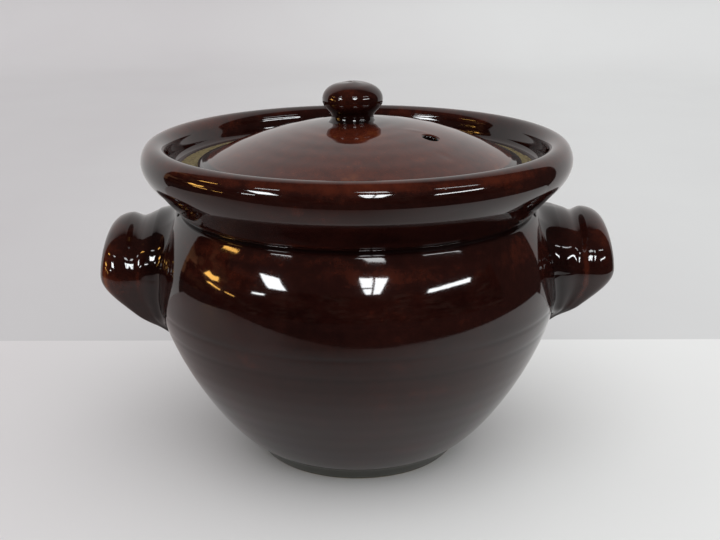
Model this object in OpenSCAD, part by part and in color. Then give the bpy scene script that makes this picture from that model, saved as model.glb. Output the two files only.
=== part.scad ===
// Lidded stoneware bean pot with two lug handles, mm, +Z up, front of the pot faces -Y.
// The pot stands on z = 0 and its turning axis is the Z axis; the handles stand out along +X and -X.

/* [Foot] */
// Radius of the foot where it meets the table
foot_r = 55.3; // [40:0.5:80]
// Radius at the top of the dark foot band, where the glazed wall starts
band_r = 61.1; // [45:0.5:85]
// Height of the foot band
band_h = 8; // [3:0.5:15]
// Width of the flat ring the pot stands on
ring_w = 11; // [5:0.5:20]
// Depth of the hollow turned into the underside
hollow_h = 2.5; // [0.5:0.5:5]
// Bevel of the foot's edge on the table
bevel = 0.8; // [0.2:0.2:2]

/* [Belly] */
// Largest radius of the belly
belly_r = 110; // [80:1:160]
// Height of the largest radius
belly_z = 95.9; // [60:1:140]
// Radius of the crease under the flared collar
crease_r = 97.2; // [70:1:150]
// Height of the crease
crease_z = 139.8; // [100:1:200]
// Thickness of the thrown wall
wall = 7.5; // [4:0.5:14]
// Thickness of the floor above the foot hollow
floor_t = 8; // [4:0.5:16]

/* [Rim and ledge] */
// Outer radius of the rolled rim
rim_r = 115; // [80:1:165]
// Height of the top of the rim above the table
rim_z = 175.6; // [120:1:240]
// Width of the rim roll, measured across the wall
roll_w = 19.6; // [10:0.2:30]
// Height of the rim roll
roll_h = 17.8; // [8:0.2:30]
// Depth of the bare ledge below the top of the rim
ledge_drop = 13.8; // [5:0.2:30]
// Width of the bare ledge, from the rim roll in to the mouth
ledge_w = 18.4; // [10:0.2:30]
// Thickness of the ledge at the mouth
ledge_t = 5; // [3:0.5:12]

/* [Lid] */
// Clearance all round between the lid's flat edge and the rim roll
lid_gap = 8.4; // [3:0.2:12]
// Width of the lid's flat edge outside the dome
edge_w = 5; // [2:0.5:10]
// Thickness of the flat edge
edge_t = 3.6; // [2:0.2:8]
// Rise of the dome above the flat edge
dome_rise = 18.9; // [5:0.5:40]
// Thickness of the dome
lid_wall = 6; // [3:0.5:12]
// Width of the flat ring under the lid that rests on the ledge
seat_w = 12; // [8:0.5:18]
// How far the lid sits to the right of the pot's axis, inside its clearance
lid_shift = 1.6; // [0:0.2:3]
// Diameter of the steam vent
vent_d = 7.4; // [3:0.2:12]
// Steam vent position to the right of the lid's centre
vent_x = 36.4; // [20:0.2:60]
// Steam vent position towards the front of the lid's centre
vent_y = 25.8; // [0:0.2:50]

/* [Knob] */
// Largest radius of the knob
knob_r = 16.3; // [10:0.1:25]
// Height of the knob above the lid
knob_h = 21; // [10:0.5:35]
// Height of the knob's widest part above the lid
knob_wide_h = 11.7; // [5:0.1:20]
// Radius of the knob's stem
stem_r = 11.3; // [6:0.1:18]
// How far the knob's joined foot spreads beyond the stem
stem_foot = 1.2; // [0:0.1:4]
// How far the hand-set knob stands to the left of the lid's centre
knob_shift = 3.7; // [0:0.1:6]

/* [Handles] */
// How far each handle stands out beyond the belly
stand_out = 27.3; // [15:0.1:45]
// Radius of the handle's arch, over its outer face, seen from the side
arch_r = 38.5; // [24:0.5:55]
// Radius of the finger space under the arch
finger_r = 21; // [9:0.2:30]
// How much wider than the arch the handle is where it meets the wall
root_flare = 5; // [0:0.5:12]
// Depth of the groove pressed along the arch
groove = 2.1; // [0:0.1:5]
// Height of the left arch's centre above the widest part of the belly
left_up = -1.1; // [-20:0.1:30]
// Length of the left arch's legs below its centre
left_leg = 23.8; // [12:0.1:45]
// Height of the right arch's centre above the widest part of the belly
right_up = 1.9; // [-20:0.1:30]
// Length of the right arch's legs below its centre
right_leg = 20.8; // [12:0.1:45]

/* [Hidden] */
$fn = 96;

glaze_brown = [0.22, 0.09, 0.06];
roll_x = rim_r - roll_w / 2;
roll_z = rim_z - roll_h / 2;
bore_r = roll_x - roll_w / 2;
ledge_z = rim_z - ledge_drop;
mouth_r = bore_r - ledge_w;
floor_z = hollow_h + floor_t;
floor_r = foot_r - wall;

// One point of an arc of an ellipse, and a run of such points
function on_arc(x, z, rx, rz, a) = [x + rx * cos(a), z + rz * sin(a)];
function arc(x, z, rx, rz, a0, a1, n) = [for (i = [0:n]) on_arc(x, z, rx, rz, a0 + (a1 - a0) * i / n)];
// A smooth curve from a to d that leaves towards b and arrives from c, without its first point
function curve(a, b, c, d, n) = [for (i = [1:n]) let (t = i / n, s = 1 - t)
    s * s * s * a + 3 * s * s * t * b + 3 * s * t * t * c + t * t * t * d];

// How the thrown wall curves, as shares of its lower span (foot band to belly) and upper span (belly to crease)
foot_out = 0.4;
foot_up = 0.13;
belly_down = 0.266;
belly_up = 0.3;
shoulder_down = 0.476;
lower_z = belly_z - band_h;
upper_z = crease_z - belly_z;

// Outside of the thrown wall, from the table up to the crease
wall_line = concat(
    [[foot_r - bevel, 0], [foot_r, bevel], [band_r, band_h]],
    curve([band_r, band_h], [band_r + foot_out * (belly_r - band_r), band_h + foot_up * lower_z],
          [belly_r, belly_z - belly_down * lower_z], [belly_r, belly_z], 14),
    curve([belly_r, belly_z], [belly_r, belly_z + belly_up * upper_z],
          [belly_r, crease_z - shoulder_down * upper_z], [crease_r, crease_z], 8));
// Flare and rolled rim, from the crease over the top to the inside; the flare's curve is given as shares of its
// width and of its height
flare_out = 0.41;
flare_up = 0.34;
flare_in = 0.02;
flare_down = 0.38;
flare_w = rim_r - crease_r;
flare_h = roll_z - crease_z;
rim_line = concat(
    curve([crease_r, crease_z], [crease_r + flare_out * flare_w, crease_z + flare_up * flare_h],
          [rim_r - flare_in * flare_w, roll_z - flare_down * flare_h], [rim_r, roll_z], 10),
    arc(roll_x, roll_z, roll_w / 2, roll_h / 2, 0, 180, 16));

// How the inside curves, as shares of the height of its neck and of its belly
neck_up = 0.65;
neck_down = 0.35;
bowl_out = 0.36;
bowl_up = 0.07;
neck_r = crease_r - wall;
inner_r = belly_r - wall;
neck_z = ledge_z - ledge_t - crease_z;
bowl_z = belly_z - floor_z;

// Inside of the pot, from the ledge down to the floor
inside_line = concat(
    [[bore_r, ledge_z], [mouth_r, ledge_z], [mouth_r, ledge_z - ledge_t]],
    curve([mouth_r, ledge_z - ledge_t], [neck_r, crease_z + neck_up * neck_z],
          [neck_r, crease_z + neck_down * neck_z], [neck_r, crease_z], 5),
    curve([neck_r, crease_z], [inner_r, crease_z - shoulder_down * upper_z],
          [inner_r, belly_z + belly_up * upper_z], [inner_r, belly_z], 7),
    curve([inner_r, belly_z], [inner_r, belly_z - belly_down * lower_z],
          [floor_r + bowl_out * (inner_r - floor_r), floor_z + bowl_up * bowl_z], [floor_r, floor_z], 12));

// Everything inside the outer skin, used to fit the handles to the wall
module pot_filled() {
    rotate_extrude() polygon(concat([[0, 0]], wall_line, rim_line, [[0, roll_z]]));
}

// Section of the whole pot, one piece of thrown clay
pot_section = concat(
    [[0, hollow_h], [foot_r - ring_w - hollow_h, hollow_h], [foot_r - ring_w, 0]],
    wall_line, rim_line, inside_line, [[0, floor_z]]);
// Height where the bowl's bend above the floor ends, as a share of the way up to the belly
bowl_share = 0.23;
bowl_top = floor_z + bowl_share * bowl_z;

// The clay between two heights. Each such ring or dish is plain enough to collide as it is, open in the middle.
module pot_between(low, high) {
    color(glaze_brown) rotate_extrude() intersection() {
        polygon(pot_section);
        translate([0, low]) square([2 * rim_r, high - low]);
    }
}

module pot_foot() pot_between(0, bowl_top);
module pot_belly() pot_between(bowl_top, belly_z);
module pot_shoulder() pot_between(belly_z, crease_z);
module pot_rim() pot_between(crease_z, rim_z);

// Section of a handle: distance from the arch's centre, distance from the pot's axis
strap = arch_r - finger_r;
edge_in = 0.4 * strap;
edge_out = 0.6 * strap;
reach = belly_r + stand_out;
tip_x = reach - edge_out;
valley_x = belly_r + 0.22 * stand_out;
dip = (tip_x - valley_x) / 2;
root_r = arch_r + root_flare;
root_x = sqrt(crease_r * crease_r - root_r * root_r) - wall;
root_in = valley_x - root_x;
handle_section = concat(
    [[finger_r, root_x], [finger_r, reach - edge_in]],
    arc(finger_r + edge_in, reach - edge_in, edge_in, edge_in, 180, 90, 4),
    arc(arch_r - edge_out, tip_x, edge_out, edge_out, 90, 0, 5),
    curve([arch_r, tip_x], [arch_r, tip_x - dip], [arch_r - groove, valley_x + dip],
          [arch_r - groove, valley_x], 3),
    curve([arch_r - groove, valley_x], [arch_r - groove, valley_x - 0.3 * root_in],
          [arch_r + 0.7 * root_flare, valley_x - 0.36 * root_in], [root_r, root_x], 5));

// Where the slanting cut across the legs starts above the arch's centre and ends below the toe, as shares of a leg
cut_up = 0.48;
cut_down = 0.17;

// Lug handle on the +X side: a half ring with two legs that run out on the belly
module lug(up, leg) {
    arch_z = belly_z + up;
    toe_z = arch_z - leg;
    low_z = toe_z - leg / 3;
    top_z = arch_z + root_r + wall;
    difference() {
        intersection() {
            union() {
                translate([0, 0, arch_z]) rotate([90, 0, 90]) rotate_extrude(angle = 180) polygon(handle_section);
                for (side = [-1, 1])
                    translate([0, 0, low_z]) linear_extrude(arch_z - low_z)
                        polygon([for (p = handle_section) [p[1], side * p[0]]]);
            }
            translate([0, 2 * root_r, 0]) rotate([90, 0, 0]) linear_extrude(4 * root_r)
                polygon(concat(
                    [[root_x - wall, toe_z - cut_down * leg], [root_x - wall, top_z],
                     [reach + wall, top_z], [reach + wall, arch_z + cut_up * leg], [reach, arch_z + cut_up * leg]],
                    curve([reach, arch_z + cut_up * leg], [reach, arch_z + 0.2 * cut_up * leg],
                          [reach - 0.37 * stand_out, arch_z - 0.3 * cut_up * leg],
                          [belly_r - 0.44 * stand_out, toe_z - cut_down * leg], 6)));
        }
        pot_filled();
    }
}

module handle_left() {
    color(glaze_brown) mirror([1, 0, 0]) lug(left_up, left_leg);
}

module handle_right() {
    color(glaze_brown) lug(right_up, right_leg);
}

// Lid: a flat edge and a dome that is a cap of a sphere, with a flat pad where the knob is joined
lid_r = bore_r - lid_gap;
dome_r = lid_r - edge_w;
dome_z = ledge_z + edge_t;
knob_z = dome_z + dome_rise;
stem_foot_r = stem_r + stem_foot;
pad_r = stem_foot_r + knob_shift + stem_foot / 4;
cap_drop = (dome_r * dome_r - pad_r * pad_r - dome_rise * dome_rise) / (2 * dome_rise);
cap_r = sqrt(dome_r * dome_r + cap_drop * cap_drop);
cap_z = dome_z - cap_drop;
hollow_r = lid_r - seat_w;
function cap_angle(x, r) = acos(x / r);

module lid() {
    color(glaze_brown) translate([lid_shift, 0, 0]) difference() {
        rotate_extrude() polygon(concat(
            [[hollow_r, ledge_z]],
            arc(lid_r - edge_t / 2, ledge_z + edge_t / 2, edge_t / 2, edge_t / 2, -90, 90, 6),
            arc(0, cap_z, cap_r, cap_r, cap_angle(dome_r, cap_r), cap_angle(pad_r, cap_r), 12),
            [[0, knob_z]],
            arc(0, cap_z, cap_r - lid_wall, cap_r - lid_wall, 90,
                cap_angle(hollow_r - lid_wall / 3, cap_r - lid_wall), 8)));
        translate([vent_x, -vent_y, ledge_z]) cylinder(d = vent_d, h = edge_t + dome_rise + lid_wall);
    }
}

// Knob: a joined foot, a short stem and a mushroom cap
stem_z = knob_h / 8;
module lid_knob() {
    color(glaze_brown) translate([lid_shift - knob_shift, 0, knob_z]) rotate_extrude() polygon(concat(
        [[0, 0], [stem_foot_r, 0], [stem_foot_r - stem_foot / 2, 0.4 * stem_z], [stem_r, stem_z]],
        curve([stem_r, stem_z], [stem_r, 0.46 * knob_wide_h], [knob_r, 0.58 * knob_wide_h],
              [knob_r, knob_wide_h], 8),
        curve([knob_r, knob_wide_h], [knob_r, 0.8 * knob_h], [0.7 * knob_r, knob_h], [0, knob_h], 10)));
}

pot_foot();
pot_belly();
pot_shoulder();
pot_rim();
handle_left();
handle_right();
lid();
lid_knob();
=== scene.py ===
"""Looks of a lidded stoneware bean pot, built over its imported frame.

Laid out as a Blender add-on and run as a script. Lengths are in metres; mm() reads millimetres.
"""

import math

import bpy
import numpy as np
from bpy.props import FloatProperty, FloatVectorProperty, PointerProperty
from mathutils import Matrix, Vector


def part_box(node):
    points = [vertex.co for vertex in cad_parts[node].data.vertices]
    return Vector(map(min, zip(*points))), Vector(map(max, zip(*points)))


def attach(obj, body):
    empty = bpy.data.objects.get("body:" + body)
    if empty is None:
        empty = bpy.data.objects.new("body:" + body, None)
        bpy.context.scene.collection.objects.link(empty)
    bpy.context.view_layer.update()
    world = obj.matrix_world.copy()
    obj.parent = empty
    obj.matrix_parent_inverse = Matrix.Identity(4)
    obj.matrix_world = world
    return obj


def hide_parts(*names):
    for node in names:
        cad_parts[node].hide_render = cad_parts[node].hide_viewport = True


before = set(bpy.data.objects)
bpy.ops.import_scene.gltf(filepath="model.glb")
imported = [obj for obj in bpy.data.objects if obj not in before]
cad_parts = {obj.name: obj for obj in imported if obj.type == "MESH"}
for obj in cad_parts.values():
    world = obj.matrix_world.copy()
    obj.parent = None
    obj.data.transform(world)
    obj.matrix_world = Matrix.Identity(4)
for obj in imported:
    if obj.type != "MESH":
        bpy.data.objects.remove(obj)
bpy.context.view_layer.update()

bl_info = {
    "name": "Stoneware bean pot",
    "version": (1, 0, 0),
    "blender": (4, 5, 0),
    "location": "3D View > Sidebar > Bean pot",
    "description": "Throws and glazes a lidded bean pot and sets it on a pale table",
    "category": "Add Mesh",
}

RIM_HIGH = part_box("pot_rim")[1]
LID_LOW, LID_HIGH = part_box("lid")
KNOB_LOW, KNOB_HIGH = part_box("lid_knob")
HANDLE_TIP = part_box("handle_right")[1].x


def mm(length):
    """Millimetres in metres."""
    return length * 0.001


def in_mm(length):
    """Metres in millimetres."""
    return length * 1000


def size(name, description, millimetres):
    """A length that a user may change."""
    length = mm(millimetres)
    return FloatProperty(name=name, description=description, default=length, unit="LENGTH", precision=4)


def angle(name, description, degrees):
    """An angle that a user may change."""
    return FloatProperty(name=name, description=description, default=math.radians(degrees), unit="ROTATION")


def colour(name, description, red, green, blue):
    """A colour that a user may change."""
    return FloatVectorProperty(
        name=name, description=description, default=(red, green, blue), subtype="COLOR", size=3, min=0, max=1
    )


def strength(name, description, value):
    """A plain number that a user may change."""
    return FloatProperty(name=name, description=description, default=value, min=0)


# ---------------------------------------------------------------- settings
# What is taken off a size read from the frame keeps the hand-made unevenness inside the CAD box.


class PotSizes(bpy.types.PropertyGroup):
    """Sizes of the thrown pot."""

    rim_radius: size("Rim radius", "Outer radius of the rolled rim", in_mm(RIM_HIGH.y) - 0.12)
    rim_height: size("Rim height", "Top of the rim above the table", in_mm(RIM_HIGH.z) - 0.1)
    rim_wide_drop: size("Widest of the rim", "Depth of the rim's widest circle below its top", 9.4)
    rim_front: size("Rim front", "Radius of the rim's rounded front", 12)
    lip: size("Lip radius", "Radius of the lip's turn over the top", 6.6)
    roll_width: size("Roll width", "Width of the rim roll across the wall", 19.6)
    ledge_drop: size("Ledge drop", "Depth of the bare ledge below the rim", 13.8)
    ledge_width: size("Ledge width", "Width of the bare ledge", 18.4)
    crease_radius: size("Crease radius", "Radius of the crease under the collar", 97.2)
    crease_height: size("Crease height", "Height of the crease under the collar", 139.8)
    belly_radius: size("Belly radius", "Largest radius of the belly", 110)
    belly_height: size("Belly height", "Height of the largest radius", 95.9)
    band_radius: size("Foot band radius", "Radius where the glaze starts above the foot", 61.1)
    band_height: size("Foot band height", "Height of the dark band round the foot", 8)
    foot_radius: size("Foot radius", "Radius of the foot on the table", 55.3)
    ring_width: size("Foot ring width", "Width of the ring the pot stands on", 11)
    hollow: size("Foot hollow", "Depth of the hollow turned into the underside", 2.5)
    wall: size("Wall", "Thickness of the thrown wall", 7.5)
    floor: size("Floor", "Thickness of the floor", 8)
    ring_depth: size("Throwing lines", "Depth of the two finger lines left round the belly", 0.2)
    high_line: size("High throwing line", "Height of the upper finger line", 90.3)
    low_line: size("Low throwing line", "Height of the lower finger line", 78.7)
    wobble: size("Wobble", "How far the pot is out of round", 0.22)


class HandleSizes(bpy.types.PropertyGroup):
    """Sizes of the two lug handles."""

    reach: size("Reach", "Distance from the pot's axis to the tip of each handle", in_mm(HANDLE_TIP) - 0.15)
    strap: size("Strap thickness", "Thickness of the bent strap of clay", 17.5)
    crown: size("Crown radius", "Outer radius over the top of the arch", 41)
    shoulder: size("Shoulder radius", "Outer radius where the arch turns down", 26)
    side: size("Side radius", "Outer radius of the arch's steep sides", 30)
    knee: size("Knee radius", "Outer radius where the sides turn in to the legs", 17)
    left_top: size("Left top", "Height of the left arch's top", 133.3)
    left_toe: size("Left toe", "Height where the left legs run out on the belly", 71)
    right_top: size("Right top", "Height of the right arch's top", 136.3)
    right_toe: size("Right toe", "Height where the right legs run out on the belly", 77)
    arch: size("Arch", "Depth from the top of the arch to where its tip starts to be cut back", 32.3)
    fillet: size("Joint fillet", "Clay smoothed into the corner between handle and wall", 9)
    dip: size("Dip", "Depth of the groove pressed along the strap", 2.4)
    flare: size("Root flare", "How much the strap thickens towards the wall", 4)
    lean: angle("Leg lean", "How far the legs turn in towards each other", 18)


class LidSizes(bpy.types.PropertyGroup):
    """Sizes of the lid and its knob."""

    radius: size("Lid radius", "Radius over the lid's flat edge", in_mm(LID_HIGH.x - LID_LOW.x) / 2 - 0.05)
    shift: size("Lid shift", "How far the lid lies to the right", in_mm(LID_HIGH.x + LID_LOW.x) / 2)
    seat: size("Seat height", "Height of the ledge the lid rests on", in_mm(LID_LOW.z))
    edge_width: size("Edge width", "Width of the flat edge round the dome", 5)
    edge: size("Edge thickness", "Thickness of the flat edge", 3.6)
    rise: size("Dome rise", "Rise of the dome above its edge", 19.5)
    wall: size("Lid wall", "Thickness of the dome", 6)
    lean: size("Dome lean", "How much higher the dome stands on the right than on the left", 1.1)
    vent: size("Vent", "Diameter of the steam vent", 7.4)
    vent_right: size("Vent place right", "Steam vent to the right of the lid's middle", 36.4)
    vent_front: size("Vent place front", "Steam vent towards the front of the lid's middle", 25.8)
    knob_radius: size("Knob radius", "Largest radius of the knob", in_mm(KNOB_HIGH.x - KNOB_LOW.x) / 2 - 0.04)
    knob_place: size("Knob place", "How far the knob is to the right", in_mm(KNOB_HIGH.x + KNOB_LOW.x) / 2)
    knob_foot: size("Knob foot", "Height where the knob is joined on", in_mm(KNOB_LOW.z))
    knob_top: size("Knob top", "Height of the top of the knob", in_mm(KNOB_HIGH.z) - 0.08)
    stem: size("Stem radius", "Radius of the knob's stem", 11.3)


class GlazeFinish(bpy.types.PropertyGroup):
    """Colours and surface of the glaze and the bare clay."""

    pooled: colour("Pooled glaze", "Where the glaze is thick", 0.0060, 0.0016, 0.0014)
    body: colour("Body glaze", "The usual thickness of glaze", 0.0185, 0.0046, 0.0034)
    rust: colour("Rust glaze", "Where the glaze lies thinner", 0.068, 0.0135, 0.0065)
    amber: colour("Amber glaze", "Where the glaze breaks over an edge", 0.20, 0.06, 0.016)
    clay: colour("Bare clay", "The unglazed ledge and foot", 0.165, 0.130, 0.052)
    clay_fleck: colour("Clay fleck", "Dark grains in the bare clay", 0.075, 0.052, 0.022)
    band: colour("Foot band", "The dark band where the glaze stops above the foot", 0.040, 0.042, 0.032)
    gloss: strength("Glaze roughness", "Roughness of the glaze", 0.055)
    refraction: strength("Glaze refraction", "Index of refraction of the glaze", 1.51)
    peel: strength("Orange peel", "Depth of the fine ripple in the glaze, in thousandths of a millimetre", 7)
    swell: strength("Swell", "Depth of the slow waves in the glaze, in thousandths of a millimetre", 60)


class StageSettings(bpy.types.PropertyGroup):
    """The pale table, the light and the camera."""

    eye_back: size("Camera distance", "Camera's distance in front of the pot's axis", 580)
    eye_up: size("Camera height", "Camera's height above the table", 283)
    eye_right: size("Camera right", "Camera's place to the right of the pot's axis", 1.6)
    tilt: angle("Camera tilt", "How far the camera looks down", 17.4865)
    roll: angle("Camera roll", "How far the camera is turned round its line of sight", 0.15)
    lens: FloatProperty(name="Lens", description="Focal length", default=54.465, unit="CAMERA")
    board_back: size("White board's place", "Distance of the white board behind the pot's axis", 151)
    table: colour("Table", "The pale table", 0.84, 0.865, 0.86)
    paper: colour("Paper", "The pale floor and wall", 0.705, 0.73, 0.73)
    ambient: colour("Ambient light", "Even light from all round", 0.545, 0.52, 0.52)
    overhead: strength("Overhead light", "Soft light from above", 0.25)
    front: strength("Front light", "Soft light from the front, on the right", 1.15)
    fill: strength("Fill light", "Soft light from the front, on the left", 0.28)
    wall: strength("White board", "Brightness of the white board behind, seen in the glaze", 0.70)
    lamps: strength("Lamps", "Brightness of the long lamps, seen in the glaze", 26)
    warm_lamp: strength("Warm lamp", "Brightness of the small warm lamp, seen in the glaze", 18)
    room: colour("Dark room", "The dim room in front, seen in the glaze", 0.034, 0.028, 0.026)


class BeanPotSettings(bpy.types.PropertyGroup):
    """All the settings of the scene."""

    pot: PointerProperty(type=PotSizes)
    handles: PointerProperty(type=HandleSizes)
    lid: PointerProperty(type=LidSizes)
    glaze: PointerProperty(type=GlazeFinish)
    stage: PointerProperty(type=StageSettings)


# ---------------------------------------------------------------- clay: lines, turned forms and straps


def curve(start, leave, arrive, end, count):
    """Points after start on a smooth curve that leaves towards one point and arrives from another."""
    t = np.linspace(0, 1, count + 1)[1:, None]
    s = 1 - t
    start, leave, arrive, end = (np.array(p, float) for p in (start, leave, arrive, end))
    return s**3 * start + 3 * s * s * t * leave + 3 * s * t * t * arrive + t**3 * end


def arc(centre, across, up, first, last, count):
    """Points on an ellipse between two angles in degrees, first one included."""
    a = np.radians(np.linspace(first, last, count + 1))
    return np.column_stack((centre[0] + across * np.cos(a), centre[1] + up * np.sin(a)))


def straight(start, end, count):
    """Points after start on a straight line."""
    t = np.linspace(0, 1, count + 1)[1:, None]
    return np.array(start, float) * (1 - t) + np.array(end, float) * t


def ramp(value, low, high):
    """0 below low, 1 above high, smooth between."""
    t = np.clip((np.asarray(value, float) - low) / (high - low), 0, 1)
    return t * t * (3 - 2 * t)


def hump(value, middle, width):
    """1 at the middle, fading to 0 over about twice the width."""
    return np.exp(-(((np.asarray(value, float) - middle) / width) ** 2))


def off(point, out, up):
    """A place so many millimetres further out and up from a point."""
    return (point[0] + mm(out), point[1] + mm(up))


def trace(start, *legs):
    """Points on a line from start.

    A straight leg is (end, count), and a curved one is (leave, arrive, end, count).
    """
    line = [np.array([start], float)]
    for *bends, end, count in legs:
        last = line[-1][-1]
        line.append(curve(last, *bends, end, count) if bends else straight(last, end, count))
    return np.vstack(line)


def wall_line(pot, inset=0.0):
    """The thrown wall from the foot band to the crease, as (radius, height)."""
    low = pot.belly_height - pot.band_height
    high = pot.crease_height - pot.belly_height
    belly = pot.belly_radius - inset
    crease = pot.crease_radius - inset
    band = pot.band_radius - inset
    lower = curve(
        (band, pot.band_height),
        (band + 0.4 * (belly - band), pot.band_height + 0.13 * low),
        (belly, pot.belly_height - 0.266 * low),
        (belly, pot.belly_height),
        90,
    )
    upper = curve(
        (belly, pot.belly_height),
        (belly, pot.belly_height + 0.3 * high),
        (belly, pot.crease_height - 0.476 * high),
        (crease, pot.crease_height),
        60,
    )
    return np.vstack((lower, upper))


def thrown_wobble(pot, radius, angle, height):
    """How far the potter's hands left the wall off a true circle, as a change of radius."""
    body = ramp(height, mm(4), mm(40))
    slow = pot.wobble * (0.6 * np.sin(2 * angle + 0.7) + 0.4 * np.sin(3 * angle + 2.1 + height / mm(30)))
    rings = mm(0.018) * np.sin(height / mm(1.35) + 0.8 * np.sin(angle)) * ramp(height, mm(12), mm(30))
    rings = rings * (1 - ramp(height, mm(70), mm(88)))
    high_line = hump(height, pot.high_line + mm(0.8) * np.sin(angle + 1.0), mm(1.1))
    low_line = hump(height, pot.low_line + mm(1.0) * np.sin(angle + 2.4), mm(1.2))
    lines = pot.ring_depth * (high_line + 0.8 * low_line) * (radius > pot.band_radius)
    return body * slow + rings - lines


def skin_radius(pot, angle, height):
    """Radius of the outside of the pot at an angle and height, from the foot band to the collar."""
    line = wall_line(pot)
    collar_slope = 0.672
    collar = pot.crease_radius + collar_slope * (height - pot.crease_height)
    radius = np.where(height > pot.crease_height, collar, np.interp(height, line[:, 1], line[:, 0]))
    return radius + thrown_wobble(pot, radius, angle, height)


def lay_mesh(name, points, faces, body, stands_for):
    """A smooth mesh object that rides on a CAD body and stands for CAD nodes."""
    mesh = bpy.data.meshes.new(name)
    mesh.from_pydata([tuple(p) for p in points], [], faces)
    mesh.update()
    piece = bpy.data.objects.new(name, mesh)
    bpy.context.scene.collection.objects.link(piece)
    for polygon in mesh.polygons:
        polygon.use_smooth = True
    if not mesh.polygons:
        raise RuntimeError(f"{name} has no faces")
    if body:
        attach(piece, body)
        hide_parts(*stands_for)
    return piece


def turn(profile, count, reshape=None):
    """Points and faces of a form turned round the Z axis.

    The profile runs outwards underneath and back inwards on top.
    """
    points, rows = [], []
    angles = np.linspace(0, 2 * math.pi, count, endpoint=False)
    for radius, height in profile:
        rows.append(len(points))
        if radius < mm(0.01):
            points.append((0.0, 0.0, height))
            continue
        r, z = np.full(count, radius), np.full(count, height)
        if reshape:
            r, z = reshape(r, angles, z)
        points.extend(zip(r * np.cos(angles), r * np.sin(angles), z))
    rows.append(len(points))
    faces = []
    for row, after, end in zip(rows, rows[1:], rows[2:]):
        one_low, one_high = after - row == 1, end - after == 1
        for j in range(count):
            k = (j + 1) % count
            if one_low:
                faces.append((row, after + k, after + j))
            elif one_high:
                faces.append((row + j, row + k, after))
            else:
                faces.append((row + j, row + k, after + k, after + j))
    return points, faces


def points_of(piece):
    """The mesh's points as an array."""
    co = np.zeros(len(piece.data.vertices) * 3, np.float32)
    piece.data.vertices.foreach_get("co", co)
    return co.reshape(-1, 3).astype(float)


# ---------------------------------------------------------------- glaze and clay


class Shader:
    """A material under construction."""

    def __init__(self, name):
        self.material = bpy.data.materials.new(name)
        self.material.use_nodes = True
        self.tree = self.material.node_tree
        self.tree.nodes.clear()
        self.out = self.node("ShaderNodeOutputMaterial")
        self.place = self.node("ShaderNodeTexCoord").outputs["Object"]

    def shown(self, surface):
        """The finished material."""
        self.tree.links.new(surface, self.out.inputs["Surface"])
        return self.material

    def node(self, kind, inputs=None, **settings):
        """A node with its settings, and its inputs set or linked by name or number."""
        made = self.tree.nodes.new(kind)
        for key, value in settings.items():
            setattr(made, key, value)
        for key, value in (inputs or {}).items():
            if isinstance(value, bpy.types.NodeSocket):
                self.tree.links.new(value, made.inputs[key])
            else:
                made.inputs[key].default_value = value
        return made

    def sum(self, first, second, how="ADD", clamp=False):
        """Two values put together."""
        return self.node("ShaderNodeMath", {0: first, 1: second}, operation=how, use_clamp=clamp).outputs[0]

    def layer(self, name):
        """Values that coat() kept on the mesh."""
        return self.node("ShaderNodeAttribute", attribute_name=name).outputs["Fac"]

    def noise(self, place, scale, detail=2.0, rough=0.5, distortion=0.0):
        """Soft noise with so many turns to the metre."""
        inputs = {"Vector": place, "Scale": scale, "Detail": detail, "Roughness": rough}
        inputs["Distortion"] = distortion
        return self.node("ShaderNodeTexNoise", inputs).outputs["Fac"]

    def spread(self, value, low, high, to_low=0.0, to_high=1.0):
        """A value stretched from one span to another."""
        inputs = {"Value": value, "From Min": low, "From Max": high, "To Min": to_low, "To Max": to_high}
        return self.node("ShaderNodeMapRange", inputs).outputs["Result"]

    def bump(self, height, share, depth, over=None):
        """Relief of a depth, by itself or over other relief."""
        inputs = {"Height": height, "Strength": share, "Distance": depth}
        if over is not None:
            inputs["Normal"] = over
        return self.node("ShaderNodeBump", inputs).outputs["Normal"]

    def blend(self, share, first, second):
        """Two colours mixed by a share."""
        made = self.node("ShaderNodeMix", data_type="RGBA")
        for socket, value in (("Factor_Float", share), ("A_Color", first), ("B_Color", second)):
            target = next(s for s in made.inputs if s.identifier == socket)
            if isinstance(value, bpy.types.NodeSocket):
                self.tree.links.new(value, target)
            else:
                target.default_value = value
        return next(s for s in made.outputs if s.identifier == "Result_Color")


def rgba(value):
    """A colour with nothing see-through about it."""
    return (*value, 1.0)


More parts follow.
